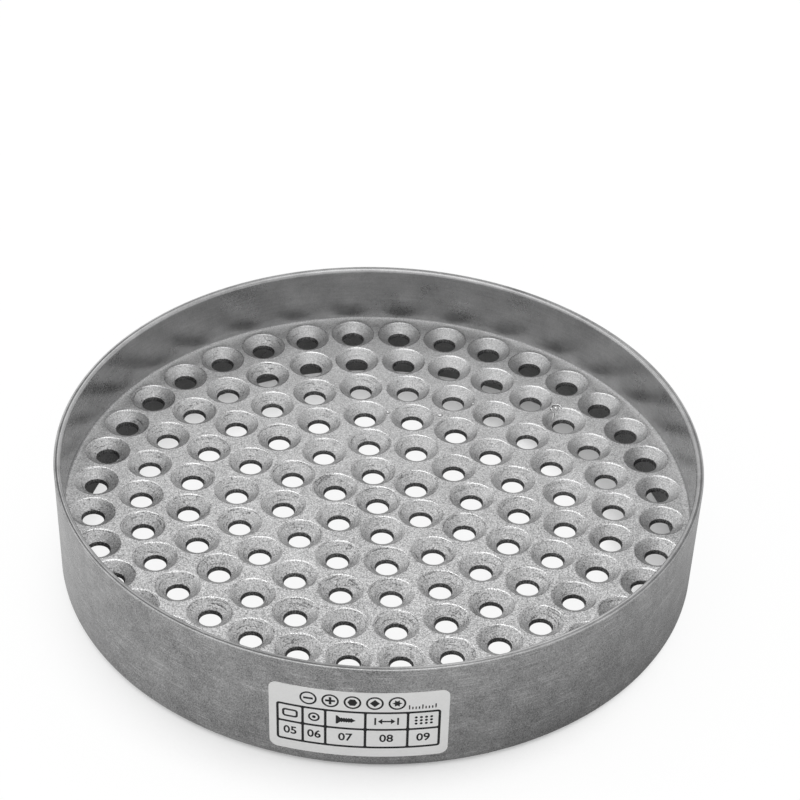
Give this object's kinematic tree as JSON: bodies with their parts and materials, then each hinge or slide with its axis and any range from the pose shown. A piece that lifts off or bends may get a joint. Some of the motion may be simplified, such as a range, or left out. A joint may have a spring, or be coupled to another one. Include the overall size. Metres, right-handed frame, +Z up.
{
  "type": "screw sorting tray",
  "caption": "Low round cast tray with a plate of countersunk holes at half height: screws shaken on the plate drop in and stand upright, ready to pick. A small label is on the wall.",
  "frame": {"origin": "centre of the base, on the surface the tray stands on", "axes": "+Z up along the tray's axis, -Y towards the front with the label, +X to the right seen from the front"},
  "size_m": [0.122, 0.1222, 0.024],
  "materials": {
    "cast_aluminium": "satin, finely blasted casting",
    "label_paper": "matte paper with a dark print"
  },
  "bodies": {
    "root": {"rim_wall": "cast_aluminium", "sorting_plate": "cast_aluminium", "size_label": "label_paper"}
  },
  "joints": []
}
